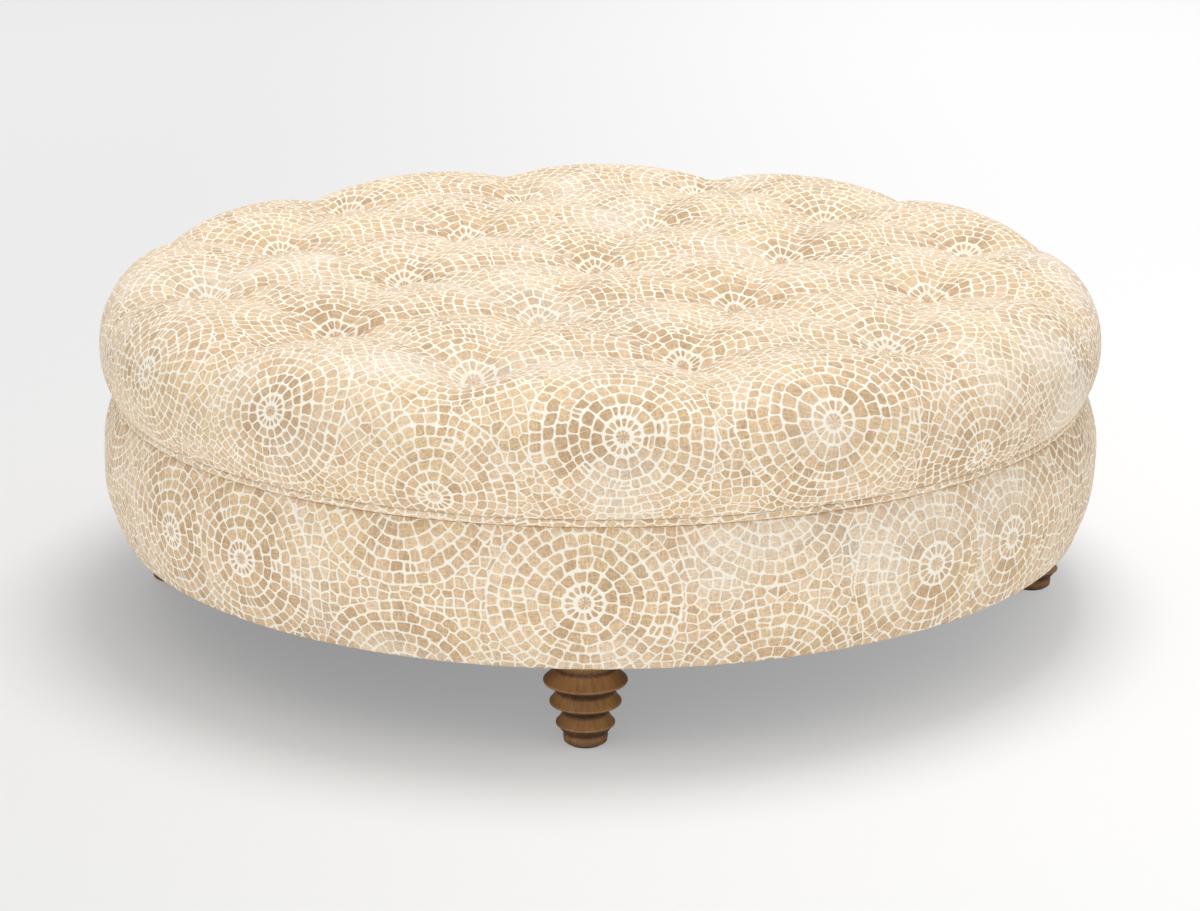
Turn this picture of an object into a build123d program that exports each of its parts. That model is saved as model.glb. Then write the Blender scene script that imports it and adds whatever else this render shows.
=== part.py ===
from build123d import *

import os
from math import asin, atan2, cos, degrees, hypot, radians, sin, sqrt

# A round, blind-tufted ottoman coffee table on four turned legs, in millimetres.
# +Z is up and the origin is on the floor under the centre. Someone who faces the
# table's front looks along +Y, with +X to their right.

# The whole
OUTER_RADIUS = 610.0  # band and cushion at their widest
FIT_GAP = 0.3  # between curved faces that lie against each other

# Legs and what fixes them
LEG_COUNT = 4
LEG_INSET = 69.5  # of a leg's axis from the widest part
LEG_TURN = -1.7  # degrees, of the first leg from +X
LEG_HEIGHT = 100.5
FOOT_RADIUS = 24.0
FOOT_TOP_RADIUS = 25.5
FOOT_HEIGHT = 10.5
RING_RADII = (33.0, 40.0, 46.8)  # from the floor up
RING_HEIGHT = 25.0
RING_CREST_HEIGHT = 6.0  # the blunt edge of a ring
RING_GROOVE_DEPTH = 10.0  # from a ring's edge in to the groove over it
NECK_RADIUS = 39.0
GLIDE_RADIUS = 19.0
GLIDE_THICKNESS = 2.5
FASTENER_SIDES = 12  # flats round each small bolt, nut and hole
GLIDE_SIDES = 24
BOLT_RADIUS = 4.0
BOLT_LENGTH_IN_LEG = 35.0
BOLT_PROUD_OF_NUT = 3.0
BOLT_HOLE_PLAY = 0.6
THREAD_PLAY = 0.15
TEE_BARREL_RADIUS = 5.0
TEE_BARREL_LENGTH = 14.0
TEE_FLANGE_RADIUS = 11.0
TEE_FLANGE_THICKNESS = 1.6
LEG_BLOCK_WIDTH = 90.0
LEG_BLOCK_DEPTH = 70.0
LEG_BLOCK_THICKNESS = 18.0
LEG_BLOCK_INSET = 15.5  # from the leg's axis in to the block's centre

# The box under the cushion
DUST_COVER_THICKNESS = 0.8
DUST_COVER_INSET = 5.0  # from the base board's edge
BOARD_INSET = 35.0  # of both boards' edges from the widest part
BASE_THICKNESS = 18.0
DECK_THICKNESS = 18.0
POST_WIDTH = 38.0
POST_HEIGHT = 78.0
JOIST_WIDTH = 20.0
JOIST_HEIGHT = 60.0
JOIST_END_GAP = 2.0
LAP_PLAY = 0.2
WALL_THICKNESS = 4.0
SPLICE_WIDTH = 40.0
SPLICE_THICKNESS = 3.0
SPLICE_TURN = 45  # degrees round the frame
HOOP_BLOCK_COUNT = 4
HOOP_BLOCK_LENGTH = 80.0
HOOP_BLOCK_SIZE = 20.0

# The padded band
SOFT_SIDES = 48  # straight-ruled strips round each soft form
COVER_THICKNESS = 1.2
HEM_INSET = 17.0  # from the widest part
HEM_EASE = 6.0  # the turn of the fabric under the hem
TUCK_WIDTH = 25.0  # of the fabric turned under the base board's edge
BAND_TOP_INSET = 15.5
BAND_SHARES = (0.0, 0.24, 0.52, 0.78, 1.0)  # corners up the band
BULGE_HEIGHT_SHARE = 0.52

# The welt between band and cushion
WELT_RADIUS = 5.5
WELT_INSET = 18.5  # of the cord's centre from the widest part
WELT_STEP = 45  # degrees between the cord's corners

# The cushion
ROLL_RADIUS = 95.0  # of the soft edge
ROLL_LIFT = 47.0  # from the deck's top up to the widest ring
ROLL_STEP = 15  # degrees between the roll's corners
CROWN_RISE = 8.0
CROWN_CORNER_SHARE = 0.5  # of the roll's centre radius
TUFT_SPACING_SHARE = 0.392  # of the outer radius, from tuft to tuft
TUFT_TURN = 13.7  # degrees, of a row of tufts from +X
TUFT_RINGS = 2  # rings of tufts round the middle one
VALLEY_DEPTH = 12.0
RIM_VALLEY_DEPTH = 15.0
RIM_VALLEY_HALF_WIDTH = 95.0
VALLEY_SHARES = ((0, 1), (0.32, 0.44), (0.72, 0.1), (1.3, -0.5))
DIMPLE_DEPTH = 36.0
DIMPLE_RADIUS = 60.0
DIMPLE_SIDES = 12
DIMPLE_SHARES = ((0.1, 1), (0.4, 0.46), (0.8, 0.1), (1.15, -0.1))
FOAM_INSET = 50.0  # of the firm core's edge from the widest part
FOAM_THICKNESS = 101.0
TIE_WIDTH = 2.4
TIE_SLIT_WIDTH = 4.0
TIE_HOLE_RADIUS = 4.0
TIE_HOLE_SIDES = 6
CLIP_LENGTH = 32.0
CLIP_WIDTH = 8.0
CLIP_THICKNESS = 4.0

# Heights from the floor, in the order in which the pieces stack
LEG_BOTTOM = GLIDE_THICKNESS
RINGS_BOTTOM = LEG_BOTTOM + FOOT_HEIGHT
LEG_TOP = LEG_BOTTOM + LEG_HEIGHT
TUCK_BOTTOM = LEG_TOP + DUST_COVER_THICKNESS
BASE_BOTTOM = TUCK_BOTTOM + COVER_THICKNESS
BASE_TOP = BASE_BOTTOM + BASE_THICKNESS
LEG_BLOCK_TOP = BASE_TOP + LEG_BLOCK_THICKNESS
JOIST_BOTTOM = BASE_TOP + POST_HEIGHT
DECK_BOTTOM = JOIST_BOTTOM + JOIST_HEIGHT
DECK_TOP = DECK_BOTTOM + DECK_THICKNESS
FOAM_TOP = DECK_TOP + FOAM_THICKNESS
WELT_HEIGHT = DECK_TOP - FIT_GAP - WELT_RADIUS
BAND_TOP = WELT_HEIGHT - WELT_RADIUS - FIT_GAP
ROLL_HEIGHT = DECK_TOP + ROLL_LIFT
CREST_HEIGHT = ROLL_HEIGHT + ROLL_RADIUS

# Radii and spacings that follow from the others
LEG_CIRCLE_RADIUS = OUTER_RADIUS - LEG_INSET
BOARD_RADIUS = OUTER_RADIUS - BOARD_INSET
DUST_COVER_RADIUS = BOARD_RADIUS - DUST_COVER_INSET
TUCK_RADIUS = BOARD_RADIUS - TUCK_WIDTH
HEM_RADIUS = OUTER_RADIUS - HEM_INSET
BAND_TOP_RADIUS = OUTER_RADIUS - BAND_TOP_INSET
WELT_CENTRE_RADIUS = OUTER_RADIUS - WELT_INSET
FOAM_RADIUS = OUTER_RADIUS - FOAM_INSET
TUFT_SPACING = TUFT_SPACING_SHARE * OUTER_RADIUS
WALL_INNER_RADIUS = BOARD_RADIUS + FIT_GAP
WALL_OUTER_RADIUS = WALL_INNER_RADIUS + WALL_THICKNESS
PADDING_INNER_RADIUS = WALL_OUTER_RADIUS + FIT_GAP
ROLL_CENTRE = OUTER_RADIUS - ROLL_RADIUS
PILLOW_EDGE_DISTANCE = TUFT_SPACING / sqrt(12)
ROW_SPACING = TUFT_SPACING * sqrt(3) / 2
FRAME_TURN = TUFT_TURN + 120  # joists run between the rows, clear of the legs
LONG_JOIST_OFFSET = ROW_SPACING / 2
CROSS_JOIST_OFFSET = TUFT_SPACING * 3 / 4

LEG_PLACES = PolarLocations(LEG_CIRCLE_RADIUS, LEG_COUNT, LEG_TURN)
TUFT_PLANE = Plane.XY.rotated((0, 0, TUFT_TURN))
FRAME_PLANE = Plane.XY.rotated((0, 0, FRAME_TURN))

os.makedirs("parts", exist_ok=True)


def tuft_points():
    """The tufts' places in the cushion's own turned plane: a hexagon of rows."""
    steps = range(-TUFT_RINGS, TUFT_RINGS + 1)
    return [
        (TUFT_SPACING * (i + j / 2), ROW_SPACING * j)
        for i in steps
        for j in steps
        if abs(i + j) <= TUFT_RINGS
    ]


def valley_places():
    """Middle and turn of the valley between each two neighbouring tufts."""
    places = []
    for x, y in tuft_points():
        for turn in (0, 60, 120):
            reach_x = TUFT_SPACING * cos(radians(turn))
            reach_y = TUFT_SPACING * sin(radians(turn))
            if any(hypot(x + reach_x - a, y + reach_y - b) < TUFT_SPACING / 2 for a, b in tuft_points()):
                places.append((x + reach_x / 2, y + reach_y / 2, turn))
    return places


def rim_tufts():
    """The outermost tufts, each with the angle that its valley runs out at."""
    return [
        (x, y, degrees(atan2(y, x)))
        for x, y in tuft_points()
        if hypot(x, y) > (TUFT_RINGS - 1 / 2) * TUFT_SPACING
    ]


def ring(radius, height, sides):
    """The corners of a level regular polygon round the Z axis."""
    turns = [radians(360 * corner / sides) for corner in range(sides)]
    return [(radius * cos(turn), radius * sin(turn), height) for turn in turns]


def crown(radius):
    """How far the cushion's top stands over its edge at this radius."""
    return CROWN_RISE * (1 - (radius / ROLL_CENTRE) ** 2)


def band_levels(inset):
    """Radius and height of the band's outline from hem to top, drawn in by inset."""
    low, high = TUCK_BOTTOM + HEM_EASE, BAND_TOP - inset
    levels = []
    for share in BAND_SHARES:
        edge = HEM_RADIUS + share * (BAND_TOP_RADIUS - HEM_RADIUS)
        reach = BULGE_HEIGHT_SHARE if share < BULGE_HEIGHT_SHARE else 1 - BULGE_HEIGHT_SHARE
        swell = 1 - ((share - BULGE_HEIGHT_SHARE) / reach) ** 2
        radius = edge + swell * (OUTER_RADIUS - HEM_RADIUS)
        levels.append((radius - inset, low + share * (high - low)))
    return [(HEM_RADIUS - HEM_EASE, TUCK_BOTTOM + inset), *levels]


# Legs: a tapered foot, three turned rings that grow upwards, and a neck.
with BuildPart() as legs:
    outline = [(0, LEG_BOTTOM), (FOOT_RADIUS, LEG_BOTTOM), (FOOT_TOP_RADIUS, RINGS_BOTTOM)]
    for step, radius in enumerate(RING_RADII):
        ring_bottom = RINGS_BOTTOM + step * RING_HEIGHT
        crest = ring_bottom + RING_HEIGHT / 2
        outline += [
            (radius, crest - RING_CREST_HEIGHT / 2),
            (radius, crest + RING_CREST_HEIGHT / 2),
            (radius - RING_GROOVE_DEPTH, ring_bottom + RING_HEIGHT),
        ]
    outline += [(NECK_RADIUS, LEG_TOP), (0, LEG_TOP)]
    with BuildSketch(Plane.XZ):
        with BuildLine():
            Polyline(*outline, close=True)
        make_face()
    one_leg = revolve(axis=Axis.Z, mode=Mode.PRIVATE)
    with LEG_PLACES:
        add(one_leg)
    with BuildSketch(Plane.XY.offset(LEG_TOP)):
        with LEG_PLACES:
            RegularPolygon(BOLT_RADIUS + THREAD_PLAY, FASTENER_SIDES)
    extrude(amount=-BOLT_LENGTH_IN_LEG, mode=Mode.SUBTRACT)
legs.part.label = "legs"
export_step(legs.part, "parts/legs.step")

# Glides: a flat disc glued under each foot.
with BuildPart() as foot_glides:
    with BuildSketch(Plane.XY):
        with LEG_PLACES:
            RegularPolygon(GLIDE_RADIUS, GLIDE_SIDES)
    extrude(amount=GLIDE_THICKNESS)
foot_glides.part.label = "foot_glides"
export_step(foot_glides.part, "parts/foot_glides.step")

# Hanger bolts: a stud in each leg's top that goes up through base and block.
with BuildPart() as hanger_bolts:
    with BuildSketch(Plane.XY.offset(LEG_TOP - BOLT_LENGTH_IN_LEG)):
        with LEG_PLACES:
            RegularPolygon(BOLT_RADIUS, FASTENER_SIDES)
    bolt_top = LEG_BLOCK_TOP + TEE_FLANGE_THICKNESS + BOLT_PROUD_OF_NUT
    extrude(amount=bolt_top - LEG_TOP + BOLT_LENGTH_IN_LEG)
hanger_bolts.part.label = "hanger_bolts"
export_step(hanger_bolts.part, "parts/hanger_bolts.step")

# Tee nuts: a threaded barrel in the block, with its flange on top of the block.
with BuildPart() as tee_nuts:
    with BuildSketch(Plane.XY.offset(LEG_BLOCK_TOP - TEE_BARREL_LENGTH)):
        with LEG_PLACES:
            RegularPolygon(TEE_BARREL_RADIUS, FASTENER_SIDES)
            RegularPolygon(BOLT_RADIUS + THREAD_PLAY, FASTENER_SIDES, mode=Mode.SUBTRACT)
    extrude(amount=TEE_BARREL_LENGTH)
    with BuildSketch(Plane.XY.offset(LEG_BLOCK_TOP)):
        with LEG_PLACES:
            RegularPolygon(TEE_FLANGE_RADIUS, FASTENER_SIDES)
            RegularPolygon(BOLT_RADIUS + THREAD_PLAY, FASTENER_SIDES, mode=Mode.SUBTRACT)
    extrude(amount=TEE_FLANGE_THICKNESS)
tee_nuts.part.label = "tee_nuts"
export_step(tee_nuts.part, "parts/tee_nuts.step")

# Leg blocks: plywood pads glued on the base board where the nuts need depth.
with BuildPart() as leg_blocks:
    with BuildSketch(Plane.XY.offset(BASE_TOP)):
        with PolarLocations(LEG_CIRCLE_RADIUS - LEG_BLOCK_INSET, LEG_COUNT, LEG_TURN):
            Rectangle(LEG_BLOCK_DEPTH, LEG_BLOCK_WIDTH)
        with LEG_PLACES:
            RegularPolygon(TEE_BARREL_RADIUS + THREAD_PLAY, FASTENER_SIDES, mode=Mode.SUBTRACT)
    extrude(amount=LEG_BLOCK_THICKNESS)
leg_blocks.part.label = "leg_blocks"
export_step(leg_blocks.part, "parts/leg_blocks.step")

# Base board: a plywood disc, bored for the hanger bolts.
with BuildPart() as base_board:
    with BuildSketch(Plane.XY.offset(BASE_BOTTOM)):
        Circle(BOARD_RADIUS)
        with LEG_PLACES:
            RegularPolygon(BOLT_RADIUS + BOLT_HOLE_PLAY, FASTENER_SIDES, mode=Mode.SUBTRACT)
    extrude(amount=BASE_THICKNESS)
base_board.part.label = "base_board"
export_step(base_board.part, "parts/base_board.step")

# Dust cover: a thin cloth disc over the turned-under fabric.
with BuildPart() as dust_cover:
    with BuildSketch(Plane.XY.offset(LEG_TOP)):
        Circle(DUST_COVER_RADIUS)
        with LEG_PLACES:
            RegularPolygon(BOLT_RADIUS + BOLT_HOLE_PLAY, FASTENER_SIDES, mode=Mode.SUBTRACT)
    extrude(amount=DUST_COVER_THICKNESS)
dust_cover.part.label = "dust_cover"
export_step(dust_cover.part, "parts/dust_cover.step")


def joist_half_length(offset):
    """Half of a joist whose end post stands just inside the round wall."""
    return sqrt(BOARD_RADIUS**2 - (offset + POST_WIDTH / 2) ** 2) - JOIST_END_GAP


LONG_HALF = joist_half_length(LONG_JOIST_OFFSET)
CROSS_HALF = joist_half_length(CROSS_JOIST_OFFSET)
CROSSINGS = [
    (x * CROSS_JOIST_OFFSET, y * LONG_JOIST_OFFSET) for x in (-1, 1) for y in (-1, 1)
]

# Posts: one under each end of each joist.
with BuildPart() as frame_posts:
    with BuildSketch(FRAME_PLANE.offset(BASE_TOP)):
        for side in (-1, 1):
            for end in (-1, 1):
                along = end * (LONG_HALF - POST_WIDTH / 2)
                across = end * (CROSS_HALF - POST_WIDTH / 2)
                with Locations(
                    (along, side * LONG_JOIST_OFFSET),
                    (side * CROSS_JOIST_OFFSET, across),
                ):
                    Rectangle(POST_WIDTH, POST_WIDTH)
    extrude(amount=POST_HEIGHT)
frame_posts.part.label = "frame_posts"
export_step(frame_posts.part, "parts/frame_posts.step")

# Long joists: a pair on edge between the rows of tufts, notched from above.
with BuildPart() as long_joists:
    with BuildSketch(FRAME_PLANE.offset(JOIST_BOTTOM)):
        with Locations((0, -LONG_JOIST_OFFSET), (0, LONG_JOIST_OFFSET)):
            Rectangle(2 * LONG_HALF, JOIST_WIDTH)
    extrude(amount=JOIST_HEIGHT)
    with BuildSketch(FRAME_PLANE.offset(DECK_BOTTOM)):
        with Locations(*CROSSINGS):
            Rectangle(JOIST_WIDTH + 2 * LAP_PLAY, JOIST_WIDTH)
    extrude(amount=-JOIST_HEIGHT / 2, mode=Mode.SUBTRACT)
long_joists.part.label = "long_joists"
export_step(long_joists.part, "parts/long_joists.step")

# Cross joists: notched from below, so that they drop over the long ones.
with BuildPart() as cross_joists:
    with BuildSketch(FRAME_PLANE.offset(JOIST_BOTTOM)):
        with Locations((-CROSS_JOIST_OFFSET, 0), (CROSS_JOIST_OFFSET, 0)):
            Rectangle(JOIST_WIDTH, 2 * CROSS_HALF)
    extrude(amount=JOIST_HEIGHT)
    with BuildSketch(FRAME_PLANE.offset(JOIST_BOTTOM)):
        with Locations(*CROSSINGS):
            Rectangle(JOIST_WIDTH, JOIST_WIDTH + 2 * LAP_PLAY)
    extrude(amount=JOIST_HEIGHT / 2, mode=Mode.SUBTRACT)
cross_joists.part.label = "cross_joists"
export_step(cross_joists.part, "parts/cross_joists.step")

# Deck board: a plywood disc with a hole under each tuft.
with BuildPart() as deck_board:
    with BuildSketch(TUFT_PLANE.offset(DECK_BOTTOM)):
        Circle(BOARD_RADIUS)
        with Locations(*tuft_points()):
            RegularPolygon(TIE_HOLE_RADIUS, TIE_HOLE_SIDES, mode=Mode.SUBTRACT)
    extrude(amount=DECK_THICKNESS)
deck_board.part.label = "deck_board"
export_step(deck_board.part, "parts/deck_board.step")

# Side wall: a bent hardboard hoop round both boards.
with BuildPart() as side_wall:
    with BuildSketch(Plane.XY.offset(BASE_BOTTOM)):
        Circle(WALL_OUTER_RADIUS)
        Circle(WALL_INNER_RADIUS, mode=Mode.SUBTRACT)
    extrude(amount=DECK_TOP - BASE_BOTTOM)
side_wall.part.label = "side_wall"
export_step(side_wall.part, "parts/side_wall.step")

# Wall splice: a flat strip behind the butt joint where the hoop's ends meet.
with BuildPart() as wall_splice:
    face_radius = sqrt(WALL_INNER_RADIUS**2 - (SPLICE_WIDTH / 2) ** 2)
    with BuildSketch(FRAME_PLANE.offset(BASE_TOP)):
        with PolarLocations(face_radius - SPLICE_THICKNESS / 2, 1, SPLICE_TURN):
            Rectangle(SPLICE_THICKNESS, SPLICE_WIDTH)
    extrude(amount=DECK_BOTTOM - BASE_TOP)
wall_splice.part.label = "wall_splice"
export_step(wall_splice.part, "parts/wall_splice.step")

# Hoop blocks: glue blocks in the corners between the hoop and each board.
with BuildPart() as hoop_blocks:
    face_radius = sqrt(WALL_INNER_RADIUS**2 - (HOOP_BLOCK_LENGTH / 2) ** 2)
    for height in (BASE_TOP, DECK_BOTTOM - HOOP_BLOCK_SIZE):
        with BuildSketch(FRAME_PLANE.offset(height)):
            with PolarLocations(face_radius - HOOP_BLOCK_SIZE / 2, HOOP_BLOCK_COUNT):
                Rectangle(HOOP_BLOCK_SIZE, HOOP_BLOCK_LENGTH)
        extrude(amount=HOOP_BLOCK_SIZE)
hoop_blocks.part.label = "hoop_blocks"
export_step(hoop_blocks.part, "parts/hoop_blocks.step")

# Side padding: a foam band round the wall, swelling at half height.
with BuildPart() as side_padding:
    for radius, height in band_levels(COVER_THICKNESS):
        with BuildSketch(TUFT_PLANE.offset(height)):
            RegularPolygon(radius - FIT_GAP, SOFT_SIDES)
    loft(ruled=True)
    with BuildSketch(TUFT_PLANE.offset(BASE_BOTTOM)):
        RegularPolygon(PADDING_INNER_RADIUS, SOFT_SIDES, major_radius=False)
    extrude(amount=BAND_TOP - BASE_BOTTOM, mode=Mode.SUBTRACT)
side_padding.part.label = "side_padding"
export_step(side_padding.part, "parts/side_padding.step")

# What the side cover holds: the padding's outline without its own gap.
with BuildPart() as band_filling:
    for radius, height in band_levels(COVER_THICKNESS):
        with BuildSketch(TUFT_PLANE.offset(height)):
            RegularPolygon(radius, SOFT_SIDES)
    loft(ruled=True)

# Side cover: fabric over the padding, turned in at the top and under the base.
with BuildPart() as side_cover:
    for radius, height in band_levels(0):
        with BuildSketch(TUFT_PLANE.offset(height)):
            RegularPolygon(radius, SOFT_SIDES)
    loft(ruled=True)
    add(band_filling.part, mode=Mode.SUBTRACT)
    with BuildSketch(TUFT_PLANE.offset(TUCK_BOTTOM)):
        RegularPolygon(TUCK_RADIUS, SOFT_SIDES)
    extrude(amount=COVER_THICKNESS, mode=Mode.SUBTRACT)
    with BuildSketch(TUFT_PLANE.offset(BAND_TOP)):
        RegularPolygon(PADDING_INNER_RADIUS, SOFT_SIDES, major_radius=False)
    extrude(amount=-COVER_THICKNESS, mode=Mode.SUBTRACT)
side_cover.part.label = "side_cover"
export_step(side_cover.part, "parts/side_cover.step")

# Welt: a covered cord with its lip, between the band's top and the cushion.
with BuildPart() as welt:
    for angle in range(-90, 91, WELT_STEP):
        with BuildSketch(TUFT_PLANE.offset(WELT_HEIGHT + WELT_RADIUS * sin(radians(angle)))):
            RegularPolygon(WELT_CENTRE_RADIUS + WELT_RADIUS * cos(radians(angle)), SOFT_SIDES)
    loft(ruled=True)
    with BuildSketch(TUFT_PLANE.offset(WELT_HEIGHT - WELT_RADIUS)):
        RegularPolygon(PADDING_INNER_RADIUS, SOFT_SIDES, major_radius=False)
    extrude(amount=2 * WELT_RADIUS, mode=Mode.SUBTRACT)
welt.part.label = "welt"
export_step(welt.part, "parts/welt.step")

# Seat foam: the plain firm core, slit for the ties.
with BuildPart() as seat_foam:
    with BuildSketch(TUFT_PLANE.offset(DECK_TOP)):
        Circle(FOAM_RADIUS)
        with Locations(*tuft_points()):
            Rectangle(TIE_SLIT_WIDTH, TIE_SLIT_WIDTH, mode=Mode.SUBTRACT)
    extrude(amount=FOAM_THICKNESS)
seat_foam.part.label = "seat_foam"
export_step(seat_foam.part, "parts/seat_foam.step")

# The valley between two tufts, as a trough with its floor on the middle line.
with BuildPart() as valley:
    with BuildSketch(Plane.YZ):
        with BuildLine():
            half = [
                (across * PILLOW_EDGE_DISTANCE, -down * VALLEY_DEPTH)
                for across, down in VALLEY_SHARES
            ]
            Polyline(*half, *[(-y, z) for y, z in half[:0:-1]], close=True)
        make_face()
    extrude(amount=TUFT_SPACING / 2, both=True)

# The valley that runs out from an outer tuft over the rim.
with BuildPart() as rim_valley:
    with BuildSketch(Plane.YZ):
        with BuildLine():
            half = [
                (across * RIM_VALLEY_HALF_WIDTH, -down * RIM_VALLEY_DEPTH)
                for across, down in VALLEY_SHARES
            ]
            Polyline(*half, *[(-y, z) for y, z in half[:0:-1]], close=True)
        make_face()
    extrude(amount=OUTER_RADIUS - TUFT_RINGS * ROW_SPACING)

# The dimple at a tuft: a steep throat that flares out to the pillows.
with BuildPart() as dimple:
    rings = [
        ring(outward * DIMPLE_RADIUS, -down * DIMPLE_DEPTH, DIMPLE_SIDES)
        for outward, down in DIMPLE_SHARES
    ]
    for low_ring, high_ring in zip(rings, rings[1:]):
        ConvexPolyhedron(low_ring + high_ring)

# Tufted top: the fabric with its soft filling, drawn down at each tuft.
with BuildPart() as tufted_top:
    first_angle = -degrees(asin(ROLL_LIFT / ROLL_RADIUS))
    crown_corner = CROWN_CORNER_SHARE * ROLL_CENTRE
    corners = ring(crown_corner, CREST_HEIGHT + crown(crown_corner), SOFT_SIDES)
    for angle in (first_angle, *range(-ROLL_STEP, 91, ROLL_STEP)):
        radius = ROLL_CENTRE + ROLL_RADIUS * cos(radians(angle))
        corners += ring(radius, ROLL_HEIGHT + ROLL_RADIUS * sin(radians(angle)), SOFT_SIDES)
    ConvexPolyhedron(corners)
    with BuildSketch(Plane.XY.offset(DECK_TOP)):
        RegularPolygon(FOAM_RADIUS + FIT_GAP, SOFT_SIDES, major_radius=False)
    extrude(amount=FOAM_THICKNESS, mode=Mode.SUBTRACT)
    with Locations(
        *[
            Location((x, y, CREST_HEIGHT + crown(hypot(x, y))), (0, 0, turn))
            for x, y, turn in valley_places()
        ]
    ):
        add(valley.part, mode=Mode.SUBTRACT)
    with Locations(
        *[Location((x, y, CREST_HEIGHT), (0, 0, turn)) for x, y, turn in rim_tufts()]
    ):
        add(rim_valley.part, mode=Mode.SUBTRACT)
    with Locations(
        *[(x, y, CREST_HEIGHT + crown(hypot(x, y))) for x, y in tuft_points()]
    ):
        add(dimple.part, mode=Mode.SUBTRACT)
tufted_top.part = tufted_top.part.rotate(Axis.Z, TUFT_TURN)
tufted_top.part.label = "tufted_top"
export_step(tufted_top.part, "parts/tufted_top.step")

# Ties: twine from the underside of each tuft down to its clip.
with BuildPart() as tuft_ties:
    with BuildSketch(TUFT_PLANE.offset(DECK_BOTTOM)):
        with Locations(*tuft_points()):
            Rectangle(TIE_WIDTH, TIE_WIDTH)
    extrude(amount=FOAM_TOP - DECK_BOTTOM)
tuft_ties.part.label = "tuft_ties"
export_step(tuft_ties.part, "parts/tuft_ties.step")

# Clips: a small bar across each hole, which the tie pulls up against the deck.
with BuildPart() as tuft_clips:
    with BuildSketch(TUFT_PLANE.offset(DECK_BOTTOM - CLIP_THICKNESS)):
        with Locations(*tuft_points()):
            Rectangle(CLIP_LENGTH, CLIP_WIDTH)
    extrude(amount=CLIP_THICKNESS)
tuft_clips.part.label = "tuft_clips"
export_step(tuft_clips.part, "parts/tuft_clips.step")
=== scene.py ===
"""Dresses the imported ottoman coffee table: cushion, band, welt, legs, light and camera."""

from math import atan2, cos, pi, radians, sin, sqrt, tau

import bpy
import numpy as np
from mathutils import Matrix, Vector


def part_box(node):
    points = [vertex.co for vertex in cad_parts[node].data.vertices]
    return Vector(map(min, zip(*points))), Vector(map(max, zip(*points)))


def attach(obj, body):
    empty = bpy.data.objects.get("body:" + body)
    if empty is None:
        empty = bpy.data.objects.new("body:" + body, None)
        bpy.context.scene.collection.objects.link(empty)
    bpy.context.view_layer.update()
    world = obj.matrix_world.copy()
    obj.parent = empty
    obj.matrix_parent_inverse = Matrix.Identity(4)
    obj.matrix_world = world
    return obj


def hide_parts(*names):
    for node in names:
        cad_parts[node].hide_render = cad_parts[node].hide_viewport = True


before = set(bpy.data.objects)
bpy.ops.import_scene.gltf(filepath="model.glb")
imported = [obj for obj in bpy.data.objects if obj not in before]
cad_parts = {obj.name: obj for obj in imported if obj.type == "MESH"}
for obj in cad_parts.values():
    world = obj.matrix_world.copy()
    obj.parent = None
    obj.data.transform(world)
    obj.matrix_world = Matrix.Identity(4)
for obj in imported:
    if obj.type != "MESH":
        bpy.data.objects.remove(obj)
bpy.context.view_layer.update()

MM = 0.001

# The photograph's camera, fitted to the object's outline
PHOTO_WIDTH_PX = 1200
FOCAL_LENGTH_PX = 3400
SENSOR_WIDTH_MM = 36
CAMERA_BACK = 4.049
CAMERA_HEIGHT = 1.413
CAMERA_PITCH = radians(17.12)

# Heights and radii that the frame gives
OUTER_RADIUS = 0.610
HEM_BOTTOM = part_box("side_cover")[0].z
BAND_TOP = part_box("side_cover")[1].z
DECK_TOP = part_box("deck_board")[1].z
LEG_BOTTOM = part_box("legs")[0].z
LEG_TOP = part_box("legs")[1].z
WELT_HEIGHT = (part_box("welt")[0].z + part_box("welt")[1].z) / 2
WELT_RADIUS = (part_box("welt")[1].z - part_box("welt")[0].z) / 2

# The cushion, whose form repeats the one in the part's source
ROLL_RADIUS = 95 * MM
ROLL_CENTRE = OUTER_RADIUS - ROLL_RADIUS
ROLL_HEIGHT = DECK_TOP + 47 * MM
CROWN_RISE = 8 * MM
SEAM_RADIUS = 594 * MM
TUFT_SPACING = 0.392 * OUTER_RADIUS
ROW_SPACING = TUFT_SPACING * sqrt(3) / 2
EDGE_DISTANCE = TUFT_SPACING / sqrt(12)
TUFT_TURN = radians(13.7)
TUFT_RINGS = 2
TUFT_DRIFT = (-5.8 * MM, 1.4 * MM)
TUFT_FUNNEL = (26 * MM, 40 * MM)
TUFT_THROAT = (9 * MM, 14 * MM)
TUFT_POWER = 1.15
VALLEY_DEPTH = 12 * MM
VALLEY_POWER = 2.2
RIM_VALLEY_DEPTH = 16 * MM
RIM_VALLEY_POWER = 3.0
RIM_FADE_POWER = 1.2
VALLEY_OVERLAP = 0.25
RIM_VALLEY_COUNT = 12
VALLEY_ROUNDING = (1.0 * MM, 8 * MM)
CROWN_PUFF = 2.5 * MM
SHOULDER_PUFF = 3.5 * MM
RIM_BLEND = 60 * MM
PUCKER_COUNT = 11
PUCKER_WANDER = 2.2
PUCKER_DEPTH = 1.8 * MM
PUCKER_REACH = 34 * MM
PUCKER_START = 9 * MM
CUSHION_STEP = 6.2 * MM

# How the cushion's cover relaxes under air pressure
HELD_SHARE = 0.8
LEAST_HOLD = 0.02
SIM_FRAMES = 16
SIM_QUALITY = 4
SIM_PRESSURE = 7.0
SIM_MASS = 0.4
SIM_STRETCH = 12
SIM_SHEAR = 6
SIM_BENDING = 0.6
SIM_LARGEST_MOVE = 9 * MM
SIM_SHRINK = 1.0 * MM

# How uneven the band, the welt and the dust cloth are: waves round the object and their weights
RIPPLE_WAVES = ((7, 0.35), (19, 0.3), (43, 0.2), (71, 0.15))
RIPPLE_LEAN = 72 / OUTER_RADIUS

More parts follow.
